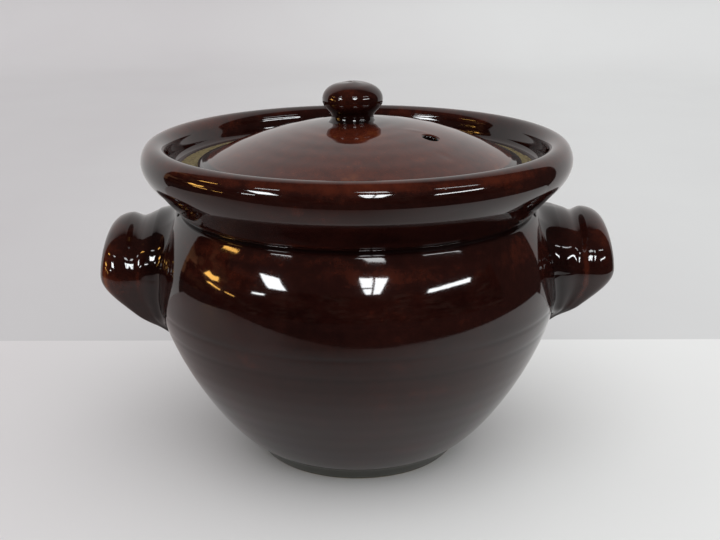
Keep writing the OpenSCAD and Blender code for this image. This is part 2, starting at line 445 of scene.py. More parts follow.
def kiln_glaze(finish):
    """Dark brown glaze that pools in hollows, breaks to rust over edges and stops at bare speckled clay."""
    s = Shader("kiln_glaze")
    place = s.place
    drawn = s.node("ShaderNodeMapping", {"Vector": place, "Scale": (1.0, 1.0, 7.0)}).outputs["Vector"]

    clouds = s.noise(place, 26, 4, 0.55, 0.4)
    streaks = s.noise(drawn, 16, 3, 0.6)
    mottle = s.noise(place, 210, 3, 0.6)
    specks = s.noise(place, 900, 1)
    thin, bare, band = s.layer("thin"), s.layer("bare"), s.layer("band")

    depth = s.sum(s.spread(clouds, 0.3, 0.7, -0.10, 0.10), s.spread(streaks, 0.3, 0.7, -0.07, 0.07))
    depth = s.sum(depth, s.spread(mottle, 0.35, 0.65, -0.05, 0.05))
    depth = s.sum(depth, s.spread(specks, 0.62, 0.78, 0.0, 0.08))
    depth = s.sum(s.sum(depth, thin), 0.30, clamp=True)
    ramp_node = s.node("ShaderNodeValToRGB", {"Fac": depth})
    stops = ramp_node.color_ramp.elements
    stops[0].position, stops[0].color = 0.08, rgba(finish.pooled)
    stops[1].position, stops[1].color = 0.95, rgba(finish.amber)
    stops.new(0.38).color = rgba(finish.body)
    stops.new(0.62).color = rgba(finish.rust)
    glazed = ramp_node.outputs["Color"]

    grains = s.noise(place, 620, 3, 0.65)
    flecks = s.spread(grains, 0.50, 0.62)
    clay = s.blend(flecks, rgba(finish.clay), rgba(finish.clay_fleck))
    ragged = s.spread(s.noise(place, 160, 3), 0.3, 0.7, -0.3, 0.3)
    bare_edge = s.spread(s.sum(bare, ragged), 0.42, 0.58)
    band_edge = s.spread(s.sum(band, ragged), 0.35, 0.65)
    shade = s.blend(band_edge, glazed, rgba(finish.band))
    shade = s.blend(bare_edge, shade, clay)

    swell = s.noise(place, 38, 2, 0.4)
    peel = s.noise(place, 330, 2, 0.5)
    cells = s.node("ShaderNodeTexVoronoi", {"Vector": place, "Scale": 95.0, "Randomness": 1.0})
    pits = s.spread(cells.outputs["Distance"], 0.0, 0.045, 1.0, 0.0)
    relief = s.bump(swell, 1.0, mm(finish.swell * 0.001))
    relief = s.bump(peel, 1.0, mm(finish.peel * 0.001), relief)
    relief = s.bump(pits, 0.5, -mm(0.05), relief)
    relief = s.bump(grains, s.spread(bare_edge, 0, 1, 0.0, 0.6), mm(0.25), relief)
    rough = s.spread(bare_edge, 0, 1, finish.gloss, 0.85)
    rough = s.sum(rough, s.spread(band_edge, 0, 1, 0.0, 0.25))
    inputs = {"Base Color": shade, "Roughness": rough, "IOR": finish.refraction, "Normal": relief}
    return s.shown(s.node("ShaderNodeBsdfPrincipled", inputs).outputs["BSDF"])


def coat(piece, thin, bare=None, band=None):
    """Glazes a piece, and keeps at each point how thin the glaze lies and where it is bare or banded."""
    for name, values in (("thin", thin), ("bare", bare), ("band", band)):
        values = np.zeros(len(thin)) if values is None else values
        layer = piece.data.attributes.new(name, "FLOAT", "POINT")
        layer.data.foreach_set("value", np.ascontiguousarray(values, np.float32))
    material = bpy.data.materials.get("kiln_glaze") or kiln_glaze(bpy.context.scene.bean_pot.glaze)
    piece.data.materials.clear()
    piece.data.materials.append(material)


# ---------------------------------------------------------------- the pieces


class BEANPOT_OT_throw_pot(bpy.types.Operator):
    """Throws the pot: foot, belly, crease, flared collar, rolled rim, bare ledge and inside"""

    bl_idname = "bean_pot.throw_pot"
    bl_label = "Throw the pot"

    def seat(self, pot):
        """Radii of the roll's middle, of the rim's bore and of the mouth, and the height of the ledge."""
        roll = pot.rim_radius - pot.roll_width / 2
        bore = roll - pot.roll_width / 2
        return roll, bore, bore - pot.ledge_width, pot.rim_height - pot.ledge_drop

    def underside(self, pot):
        """From the middle of the underside, out under the foot ring and up to where the glaze starts."""
        hollow, band = pot.hollow, pot.band_height
        ring, foot = (pot.foot_radius - pot.ring_width, 0), (pot.foot_radius, 0)
        hollow_edge = (ring[0], hollow)
        low_band = (foot[0] + mm(2.6), band * 0.4)
        high_band = (pot.band_radius - mm(1.6), band * 0.72)
        return trace(
            (0.0, hollow),
            (off(hollow_edge, -3.2, 0), 12),
            (off(hollow_edge, -1.6, 0), off(ring, -1, 0), off(ring, 0.6, 0), 8),
            (off(foot, -1, 0), 8),
            (off(foot, -0.4, 0), off(foot, 0, 0.3), off(foot, 0.5, 1), 5),
            (low_band, high_band, off((pot.band_radius, band), -0.2, -0.5), 10),
        )

    def collar(self, pot, wall_end):
        """From the wall through the crease and its bead, and up the flared collar to the rim's widest."""
        crease = (pot.crease_radius, pot.crease_height)
        groove, bead = off(crease, -1.5, -0.1), off(crease, 0.8, 1.6)
        flare = (pot.rim_radius - mm(6.2), pot.crease_height + mm(13.8))
        wide = (pot.rim_radius, pot.rim_height - pot.rim_wide_drop)
        line = trace(
            wall_end,
            (off(wall_end, -0.35, 0.6), off(groove, 0.5, -0.3), groove, 8),
            (off(groove, 0.1, 0.7), off(bead, -0.7, -0.5), bead, 8),
            (off(bead, 2.8, 4.0), off(flare, -3.5, -3.6), flare, 24),
            (off(flare, 3.3, 3.4), off(wide, 0, -4.4), wide, 26),
        )
        return line[1:]

    def lip(self, pot):
        """From the rim's widest over the top, in a wide turn and a tight one."""
        front, lip = pot.rim_front, pot.lip
        front_end, lip_end = 32, 168
        front_middle = np.array((pot.rim_radius - front, pot.rim_height - pot.rim_wide_drop))
        a = math.radians(front_end)
        lip_middle = front_middle + (front - lip) * np.array((math.cos(a), math.sin(a)))
        wide_turn = arc(front_middle, front, front, 0, front_end, 16)
        tight_turn = arc(lip_middle, lip, lip, front_end, lip_end, 50)
        return np.vstack((wide_turn[1:], tight_turn[1:]))

    def inside(self, pot, lip_end):
        """Down the steep inner wall, in across the bare ledge and down inside to the middle of the floor."""
        _, bore, mouth, ledge = self.seat(pot)
        corner, edge = (bore, ledge), (mouth, ledge)
        low_wall, under_edge = off(corner, 3.9, 2.6), off(edge, 0, -4)
        neck, crease_z = pot.crease_radius - pot.wall, pot.crease_height
        rise = under_edge[1] - crease_z
        wall_steps = 90
        wall = wall_line(pot, pot.wall)[::-1][: wall_steps + 1]
        last = wall[-1]
        middle = (pot.foot_radius - pot.wall, pot.hollow + pot.floor)
        down = trace(
            lip_end,
            (off(lip_end, -0.4, -2), off(low_wall, 0.5, 2.6), low_wall, 16),
            (off(low_wall, -0.4, -1.6), off(corner, 1.6, 0), off(corner, -0.6, 0), 12),
            (off(edge, 1, 0), 14),
            (off(edge, 0.3, 0), off(edge, 0, -0.3), off(edge, 0, -1), 5),
            (under_edge, 3),
            ((neck, crease_z + 0.7 * rise), (neck, crease_z + 0.35 * rise), (neck, crease_z), 14),
        )
        across = trace(
            last,
            (off(last + (last - wall[-2]) * 2, 0, -8), off(middle, 20, 6), middle, 30),
            ((0, middle[1]), 12),
        )
        return np.vstack((down[1:], wall[1:], across[1:]))

    def profile(self, pot):
        """The whole line, up the outside and back down the inside to the floor."""
        wall = wall_line(pot)
        wall = wall[wall[:, 1] < pot.crease_height - mm(1.5)]
        collar, lip = self.collar(pot, wall[-1]), self.lip(pot)
        return np.vstack((self.underside(pot), wall, collar, lip, self.inside(pot, lip[-1])))

    def thinness(self, pot, radius, height):
        """How thin the glaze lies at each point, above 0 where it breaks and below 0 where it pools. The
        darkening on the neck and in the groove under the collar is partly painted shade.
        """
        roll, top, crease = self.seat(pot)[0], pot.rim_height, pot.crease_height
        outside = radius > np.interp(height, [0, mm(140), mm(176)], [0, mm(96), roll])
        outer_half = ramp(radius, roll, roll + mm(5))
        lip = ramp(height, top - mm(7), top - mm(2.5)) * outer_half
        inner_lip = ramp(height, top - mm(9), top - mm(2)) * (1 - outer_half)
        neck = hump(height, crease + mm(8), mm(7))
        shoulder = hump(height, crease - mm(9), mm(9))
        bead = hump(height, crease + mm(1.6), mm(0.9))
        groove = hump(height, crease - mm(0.3), mm(1.4))
        lines = hump(height, pot.high_line, mm(1.3)) + hump(height, pot.low_line, mm(1.4))
        # Darker neck and groove: partly pooled glaze, partly painted shade under the rim roll and in the
        # crease.
        wall = 0.12 * shoulder - 0.12 * neck + 0.15 * bead - 0.4 * groove - 0.10 * lines
        return 0.18 * lip + 0.13 * inner_lip + wall * outside

    def execute(self, context):
        pot = context.scene.bean_pot.pot
        _, bore, mouth, ledge = self.seat(pot)

        def by_hand(radius, angle, height):
            lift = mm(0.25) * np.sin(angle + 0.5) * ramp(height, mm(140), mm(175))
            return radius + thrown_wobble(pot, radius, angle, height), height + lift

        points, faces = turn(self.profile(pot), 288, by_hand)
        nodes = ["pot_foot", "pot_belly", "pot_shoulder", "pot_rim"]
        piece = lay_mesh("thrown_pot", points, faces, "pot", nodes)
        at = points_of(piece)
        radius, height = np.hypot(at[:, 0], at[:, 1]), at[:, 2]
        on_ledge = (radius < bore - mm(0.4)) & (radius > mouth - mm(0.1)) & (abs(height - ledge) < mm(0.9))
        in_hollow = (height < pot.hollow + mm(0.5)) & (radius < pot.foot_radius - mm(2))
        bare = on_ledge | in_hollow | (height < mm(0.9))
        on_band = (height < pot.band_height + mm(0.2)) & (radius < pot.band_radius + mm(0.6))
        coat(piece, self.thinness(pot, radius, height), bare, on_band)
        return {"FINISHED"}


class BEANPOT_OT_pull_handles(bpy.types.Operator):
    """Pulls the two straps, bends them into arches and smooths them into the wall"""

    bl_idname = "bean_pot.pull_handles"
    bl_label = "Pull the handles"

    def path(self, h, top, toe):
        """Half the middle line of the strap, from the crown down to the toe.

        Each row holds the place across and up, and the direction across and up that faces out of the arch.
        """
        half = h.strap / 2
        lean = math.degrees(h.lean)
        # outer radius, the angles in degrees where that bend starts and ends, and its steps
        turns = (
            (h.crown, 90, 54, 26),
            (h.shoulder, 54, 22, 18),
            (h.side, 22, 12, 8),
            (h.knee, 12, -lean, 20),
        )
        centre = np.array((0.0, top - h.crown))
        before = h.crown
        found = []
        for radius, first, last, count in turns:
            a = math.radians(first)
            centre = centre + (before - radius) * np.array((math.cos(a), math.sin(a)))
            before = radius
            e = np.radians(np.linspace(first, last, count + 1))[1 if found else 0 :]
            ray = np.column_stack((np.cos(e), np.sin(e)))
            found.append(np.column_stack((centre + (radius - half) * ray, ray)))
        last = found[-1][-1]
        way = np.array((last[3], -last[2]))
        length = (last[1] - toe + mm(5)) / -way[1]
        steps = np.linspace(0, length, 40)[1:, None]
        found.append(np.column_stack((last[:2] + steps * way, np.tile(last[2:], (len(steps), 1)))))
        return np.vstack(found)

    def tip_at(self, h, pot, top, toe, heights):
        """How far out the strap's tip stands at each height: full reach on the arch, then cut back."""
        stand = h.reach - pot.belly_radius
        arch = top - h.arch
        leg = arch - toe
        high = arch + leg / 6
        cut = trace(
            (h.reach, high),
            (
                (h.reach, arch - leg / 7),
                (h.reach - 0.37 * stand, arch - leg / 3),
                (pot.belly_radius - 0.44 * stand, toe - leg / 7),
                48,
            ),
        )
        slope = (cut[-1, 0] - cut[-4, 0]) / (cut[-1, 1] - cut[-4, 1])
        tip = np.interp(heights, cut[::-1, 1], cut[::-1, 0])
        tip = np.where(heights < cut[-1, 1], cut[-1, 0] + (heights - cut[-1, 1]) * slope, tip)
        lean = np.clip((heights - high) / (top - high), 0, 1.2)
        return tip - mm(2.6) * lean**1.5

    def strap(self, pot, h, top, toe, flare, grooves, phase):
        """Points and faces of one handle on the +X side."""
        half = h.strap / 2
        outer_turn, inner_turn = 0.62, 0.8
        tip_round = mm(10)
        under_collar = pot.crease_height - mm(0.3)
        line = self.path(h, top, toe)
        back = line[::-1].copy()
        front = line[1:].copy()
        front[:, (0, 2)] *= -1
        line = np.vstack((back, front))
        tips = self.tip_at(h, pot, top, toe, line[:, 1])
        loops, shares = [], []
        for step, ((y, z, ny, nz), tip) in enumerate(zip(line, tips)):
            along = step / len(line)

            def skin(w):
                """Where the pot's skin is, at a distance out of the strap's middle line."""
                yy, zz = y + w * ny, z + w * nz
                x = mm(100)
                for _ in range(5):
                    r = float(skin_radius(pot, math.atan2(yy, x), min(zz, pot.crease_height)))
                    x = math.sqrt(max(r * r - yy * yy, mm(40) ** 2))
                return x

            base = min(skin(0.0), tip - mm(0.8))
            span = tip - base
            worn = min(1.0, span / mm(20))
            topness = max(nz, 0.0)
            slim = 0.35 + 0.65 * float(ramp(span, 0, mm(15)))
            rise = min(flare, (pot.crease_height - mm(0.9) - (z + half * nz)) / max(nz, 0.05))

            def outer(q):
                """The outer face at a share of the way from the wall to the tip."""
                w = half + rise * worn * topness * np.clip(1 - q / 0.30, 0, 1) ** 1.6
                for middle, depth, width in grooves:
                    pressed = depth * worn * (0.55 + 0.45 * topness)
                    w = w - pressed * hump(q, middle - 0.15 * (1 - topness), width)
                w = w + mm(0.22) * np.sin(9 * along + 4 * q + phase) * worn
                return w * slim

            def inner(q):
                """The inner face at a share of the way from the wall to the tip."""
                return -half * slim - mm(0.6) * worn * hump(q, 0.45, 0.2) + 0 * q

            w_out, w_in = float(outer(np.array(0.0))), float(inner(np.array(0.0)))
            wall_out, wall_in = min(skin(w_out), tip - mm(0.6)), min(skin(w_in), tip - mm(0.6))
            soft = min(h.fillet * (0.4 + 0.6 * topness), 0.36 * span)
            q_out = np.clip((wall_out - base + soft) / span, 0.02, 0.5)
            q_in = np.clip((wall_in - base + soft) / span, 0.02, 0.6)

            def land(w_wall, x_wall, x_face, w_face, way):
                """The fillet from the strap's face down to the skin of the pot."""
                w_skin = w_wall + way * soft * 1.1
                if z + w_skin * nz > under_collar and nz > 0.3:
                    w_skin = (under_collar - z) / nz
                foot = np.array((min(skin(w_skin), tip) - mm(0.22), w_skin))
                face, knee = np.array((x_face, w_face)), np.array((x_wall, w_wall))
                t = np.linspace(0, 1, 10)[:, None]
                return (1 - t) ** 2 * foot + 2 * t * (1 - t) * knee + t * t * face

            loop = [land(w_out, wall_out, base + q_out * span, float(outer(q_out)), 1)]
            q = np.linspace(q_out, outer_turn, 40)[1:]
            loop.append(np.column_stack((base + q * span, outer(q))))
            edge = float(outer(np.array(outer_turn)))
            low = edge - tip_round * slim
            a = np.radians(np.linspace(90, 0, 14))[1:]
            out = base + (outer_turn + (1 - outer_turn) * np.cos(a)) * span
            loop.append(np.column_stack((out, low + (edge - low) * np.sin(a))))
            inside_edge = float(inner(np.array(inner_turn)))
            a = np.radians(np.linspace(0, -90, 10))[1:]
            out = base + (inner_turn + (1 - inner_turn) * np.cos(a)) * span
            loop.append(np.column_stack((out, low + (low - inside_edge) * np.sin(a))))
            q = np.linspace(inner_turn, q_in, 12)[1:]
            loop.append(np.column_stack((base + q * span, inner(q))))
            loop.append(land(w_in, wall_in, base + q_in * span, float(inner(q_in)), -1)[::-1][1:])
            loop = np.vstack(loop)
            buried = (loop[[-1, 0]] - (mm(2.5), 0)) * (1, 0.9)
            loop = np.vstack((loop, buried))
            loops.append(np.column_stack((loop[:, 0], y + loop[:, 1] * ny, z + loop[:, 1] * nz)))
            shares.append((loop[:, 0] - base) / span)
        return np.vstack(loops), self.skinned(len(loops), len(loops[0])), np.concatenate(shares)

    def skinned(self, loops, count):
        """Faces over so many loops of so many points each, closed at both ends."""
        faces = []
        for i in range(loops - 1):
            for j in range(count):
                k = (j + 1) % count
                faces.append((i * count + j, (i + 1) * count + j, (i + 1) * count + k, i * count + k))
        faces.append(tuple(range(count)))
        faces.append(tuple((loops - 1) * count + j for j in reversed(range(count))))
        return faces

    def execute(self, context):
        settings = context.scene.bean_pot
        pot, h = settings.pot, settings.handles
        # share of the way out, depth and width of each groove pressed along a strap
        right = ((0.45, h.dip, 0.13), (0.66, 0.15 * h.dip, 0.05))
        left = ((0.43, 0.9 * h.dip, 0.15), (0.70, 0.2 * h.dip, 0.05))
        # node, side, top, toe, flare, grooves, phase of the unevenness, and how far out the worn ridge is
        kinds = {
            "right_handle": ("handle_right", 1, h.right_top, h.right_toe, 0.7 * h.flare, right, 0.4, 0.47),
            "left_handle": ("handle_left", -1, h.left_top, h.left_toe, h.flare, left, 2.0, 0.88),
        }
        for name, (node, way, top, toe, flare, grooves, phase, ridge) in kinds.items():
            points, faces, share = self.strap(pot, h, top, toe, flare, grooves, phase)
            points[:, 0] *= way
            if way < 0:
                faces = [tuple(reversed(f)) for f in faces]
            piece = lay_mesh(name, points, faces, "pot", [node])
            on_side = hump(points[:, 2], top - mm(28), mm(15)) * ramp(abs(points[:, 1]), mm(22), mm(32))
            worn = hump(share, ridge, 0.06) * on_side + 0.35 * hump(share, 0.3, 0.04) * on_side * (way < 0)
            thin = 0.02 + 0.10 * ramp(share, 0.45, 0.9) + 0.34 * worn - 0.20 * (1 - ramp(share, 0.05, 0.3))
            coat(piece, thin)
        return {"FINISHED"}


class BEANPOT_OT_throw_lid(bpy.types.Operator):
    """Throws the lid, leans its dome a little and pierces the steam vent"""

    bl_idname = "bean_pot.throw_lid"
    bl_label = "Throw the lid"

    def ball(self, lid):
        """Radius of the ball that the dome is cut from, and the height of its middle."""
        dome = lid.radius - lid.edge_width
        drop = (dome**2 - lid.rise**2) / (2 * lid.rise)
        return math.hypot(dome, drop), lid.seat + lid.edge - drop

    def profile(self, lid):
        """Closed line from under the middle of the dome, out over the seat and back over the top."""
        cap, middle = self.ball(lid)
        under = cap - lid.wall
        hollow, seat = (lid.radius - mm(12), lid.seat), (lid.radius, lid.seat)
        low, high, half = (lid.seat + lid.edge * share for share in (0.1, 0.3, 0.5))
        brim = (lid.radius, lid.seat + lid.edge - mm(1.5))
        valley = (lid.radius - lid.edge_width, lid.seat + lid.edge - mm(0.1))
        full = math.degrees(math.acos((hollow[0] - mm(2)) / under))
        start = math.degrees(math.acos((valley[0] - mm(1.5)) / cap))
        inner = arc((0, middle), under, under, 90, full, 40)
        inner[0, 0] = 0.0
        outer = arc((0, middle), cap, cap, start, 90, 70)
        outer[-1, 0] = 0.0
        brim_line = trace(
            inner[-1],
            (off(inner[-1], 0.8, -0.5), off(hollow, -0.4, 0), off(hollow, 0.6, 0), 5),
            (off(seat, -2, 0), 8),
            (off(seat, -0.8, 0), (lid.radius, low), (lid.radius, high), 6),
            ((lid.radius, half), off(brim, -0.5, -0.1), off(brim, -1.4, 0.3), 6),
            (off(valley, 1.2, -0.3), 5),
            (off(valley, 0.4, 0), off(outer[0], 0.7, -0.2), outer[0], 6),
        )
        return np.vstack((inner, brim_line[1:], outer[1:]))

    def lean(self, lid, radius, angle, height):
        """The dome stands a little higher on the right, with faint turning rings and two finger marks."""
        across, away = radius * np.cos(angle), radius * np.sin(angle)
        up = lid.lean * across / mm(60) * np.exp(-((radius / mm(62)) ** 2))
        rings = mm(0.03) * np.sin(radius / mm(1.7)) * (radius < lid.radius - lid.edge_width - mm(3))
        ridge = mm(0.12) * hump(across, mm(29), mm(6)) * hump(away, mm(-19), mm(2))
        dent = hump(across, mm(43), mm(4)) * hump(away + (across - mm(43)) * 0.4, mm(-46), mm(2.2))
        marks = rings + ridge - mm(0.16) * dent
        return radius, height + (up + marks) * (height > lid.seat + lid.edge - mm(1))

    def pierce(self, piece, lid):
        """Cuts the vent with a trumpet-shaped pin, pushed in square to the dome."""
        place = Vector((lid.vent_right, -lid.vent_front, 0))
        cap, middle = self.ball(lid)
        place.z = middle + math.sqrt(cap**2 - place.x**2 - place.y**2)
        outwards = (place - Vector((0, 0, middle))).normalized()
        r, deep, high = lid.vent / 2, mm(-16), mm(4)
        pin_line = trace(
            (0.0, deep),
            ((r, deep), 1),
            ((r, mm(-1.5)), 6),
            ((r, mm(-0.7)), (r + mm(0.3), mm(-0.25)), (r + mm(1.3), mm(0.12)), 8),
            ((r + mm(1.6), high), 1),
            ((0.0, high), 1),
        )
        points, faces = turn(pin_line, 40)
        pin = lay_mesh("vent_pin", points, faces, None, [])
        leaning = Vector((0, 0, 1)).rotation_difference(outwards).to_matrix().to_4x4()
        pin.matrix_world = Matrix.Translation(place) @ leaning
        cut = piece.modifiers.new("vent", "BOOLEAN")
        cut.operation, cut.solver, cut.object = "DIFFERENCE", "EXACT", pin
        bpy.context.view_layer.update()
        pierced = bpy.data.meshes.new_from_object(piece.evaluated_get(bpy.context.evaluated_depsgraph_get()))
        if len(pierced.polygons) <= len(piece.data.polygons):
            raise RuntimeError("the vent wasn't cut")
        piece.modifiers.clear()
        piece.data = pierced
        bpy.data.objects.remove(pin)
        return place

    def execute(self, context):
        lid = context.scene.bean_pot.lid
        points, faces = turn(self.profile(lid), 240, lambda r, a, z: self.lean(lid, r, a, z))
        piece = lay_mesh("thrown_lid", points, faces, None, [])
        vent = self.pierce(piece, lid)
        for polygon in piece.data.polygons:
            polygon.use_smooth = True
        piece.data.transform(Matrix.Translation((lid.shift, 0, 0)))
        piece.data.set_sharp_from_angle(angle=math.radians(40))
        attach(piece, "lid")
        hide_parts("lid")
        at = points_of(piece)
        x, y, z = at[:, 0] - lid.shift, at[:, 1], at[:, 2]
        radius = np.hypot(x, y)
        dome, vent_edge = lid.radius - lid.edge_width, lid.vent / 2
        on_seat = (z < lid.seat + mm(0.5)) & (radius > lid.radius - mm(13.5))
        flange = ramp(radius, dome - mm(1), dome + mm(0.4))
        to_vent = np.hypot(x - vent.x, y - vent.y)
        # Painted shade: the wall of the vent is darkened to stand for the shade inside the hole.
        vent_shade = 1 - ramp(to_vent, vent_edge + mm(0.3), vent_edge + mm(0.9))
        round_knob = 1 - ramp(radius, mm(14), mm(34))
        thin = 0.27 - 0.45 * flange - 0.14 * round_knob + 0.05 * hump(to_vent, 0, mm(6)) - 0.7 * vent_shade
        coat(piece, thin, on_seat)
        return {"FINISHED"}


class BEANPOT_OT_throw_knob(bpy.types.Operator):
    """Throws the mushroom knob and joins it to the lid, a little to the left of the middle"""

    bl_idname = "bean_pot.throw_knob"
    bl_label = "Throw the knob"

    def execute(self, context):
        lid = context.scene.bean_pot.lid
        foot, top, r, stem = lid.knob_foot, lid.knob_top, lid.knob_radius, lid.stem
        high = top - foot
        wide = foot + high * 0.557
        joint, waist = (stem, foot), (stem, foot + mm(2.8))
        line = trace(
            (0.0, foot - mm(1.2)),
            (off(joint, 2.6, -1.2), 1),
            (off(joint, 1.6, 0.1), off(joint, 0.1, 0.5), waist, 14),
            ((stem + mm(0.2), foot + high * 0.257), (r, foot + high * 0.324), (r, wide), 34),
            ((r, foot + high * 0.8), (r * 0.7, top), (0, top), 40),
        )
        line[-1, 0] = 0.0

        def by_hand(radius, angle, height):
            up = ramp(height, foot + high * 0.3, top)
            out = mm(0.22) * np.sin(2 * angle + 1.1) * up + mm(0.12) * np.sin(5 * angle) * up
            uneven = 0.5 + 0.5 * np.sin(angle * 2 + radius / mm(3))
            flat = mm(0.35) * ramp(height, top - mm(2), top) * uneven
            return radius - abs(out) * 0.6 - mm(0.05), height - flat

        points, faces = turn(line, 144, by_hand)
        piece = lay_mesh("thrown_knob", points, faces, None, [])
        piece.data.transform(Matrix.Translation((lid.knob_place, 0, 0)))
        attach(piece, "lid")
        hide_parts("lid_knob")
        height = points_of(piece)[:, 2]
        thin = 0.05 + 0.06 * ramp(height, wide, top) - 0.4 * (1 - ramp(height, foot - mm(0.5), foot + mm(5)))
        coat(piece, thin)
        return {"FINISHED"}


# ---------------------------------------------------------------- stage


def plain_surface(name, shade, rough, left, right, front_edge=None):
    """A matt studio surface with painted shade that darkens it towards the left.

    With a front edge, the glaze mirrors it with painted brown shade at the left of the pot and towards that
    edge, for the pot's shadow by the foot and the shade near the edge.
    """
    s = Shader(name)
    place = s.place
    axes = s.node("ShaderNodeSeparateXYZ", {"Vector": place}).outputs
    across = s.spread(axes["X"], left, right, 0.0, 0.9)
    tone = s.sum(across, s.spread(s.noise(place, 5, 3), 0.3, 0.7, 0.0, 0.1))
    # Painted shade: the colour turns dimmer and a little pinker towards the left, standing for less light
    # there.
    painted_left_shade = [part * share for part, share in zip(shade, (0.80, 0.765, 0.78))]
    mixed = s.blend(tone, rgba(painted_left_shade), rgba(shade))
    if front_edge:
        # Painted shade seen only in reflections: the mirrored table turns dim brown near the foot at the left
        # of the pot and towards the front edge.
        away = s.node("ShaderNodeVectorMath", {"Vector": place}, operation="LENGTH").outputs["Value"]
        left_of_pot = s.spread(axes["X"], mm(20), mm(180), 0.45, 0.0)
        mirrored_shade = s.sum(s.spread(away, mm(95), mm(135)), left_of_pot, "MULTIPLY")
        mirrored_shade = s.sum(mirrored_shade, s.spread(axes["Y"], front_edge, mm(-150), 0.5, 0.0), clamp=True)
        in_glaze = s.node("ShaderNodeLightPath").outputs["Is Glossy Ray"]
        mixed = s.blend(s.sum(mirrored_shade, in_glaze, "MULTIPLY"), mixed, rgba((0.24, 0.15, 0.13)))
    surface = s.node("ShaderNodeBsdfPrincipled", {"Base Color": mixed, "Roughness": rough, "IOR": 1.45})
    surface.inputs["Specular IOR Level"].default_value = 0.2
    return s.shown(surface.outputs["BSDF"])


def shining(name, shade, power, fades=None, patchy=0.0):
    """A surface that gives light of its own, which may fade between two heights and may be patchy."""
    s = Shader(name)
    place = s.place
    if fades:
        height = s.node("ShaderNodeSeparateXYZ", {"Vector": place}).outputs["Z"]
        span = {"Value": height, "From Min": fades[0], "From Max": fades[1], "To Min": power, "To Max": 0.0}
        power = s.node("ShaderNodeMapRange", span, interpolation_type="SMOOTHSTEP").outputs["Result"]
    if patchy:
        upright = s.node("ShaderNodeMapping", {"Vector": place, "Scale": (1.0, 1.0, 2.2)}).outputs["Vector"]
        cells = s.node("ShaderNodeTexVoronoi", {"Vector": upright, "Scale": patchy}, distance="CHEBYCHEV")
        blocks = s.spread(cells.outputs["Color"], 0.35, 0.75)
        patches = s.sum(blocks, s.spread(s.noise(place, patchy / 3), 0.4, 0.65), "MULTIPLY")
        power = s.sum(patches, power, "MULTIPLY")
    light = s.node("ShaderNodeEmission", {"Color": rgba(shade), "Strength": power})
    return s.shown(light.outputs["Emission"])


def stage_mesh(name, points, faces, material):
    """A mesh that isn't part of the pot."""
    piece = lay_mesh(name, points, faces, None, [])
    piece.data.materials.append(material)
    return piece


def only_in_glaze(piece):
    """Lets a card show in the glaze and nowhere else."""
    piece.visible_camera = piece.visible_diffuse = piece.visible_shadow = False
    piece.visible_transmission = piece.visible_volume_scatter = False


def towards(azimuth, elevation, distance):
    """A place in a direction from the middle of the pot's front.

    Azimuth 0 is straight in front, and positive is to the right.
    """
    a, e = math.radians(azimuth), math.radians(elevation)
    flat = distance * math.cos(e)
    return Vector((flat * math.sin(a), mm(-80) - flat * math.cos(a), mm(125) + distance * math.sin(e)))


def mirror_card(name, corners, distance, material):
    """A card at (azimuth, elevation) corners that only the glaze mirrors."""
    points = [towards(a, e, distance) for a, e in corners]
    only_in_glaze(stage_mesh(name, points, [tuple(range(len(points)))], material))


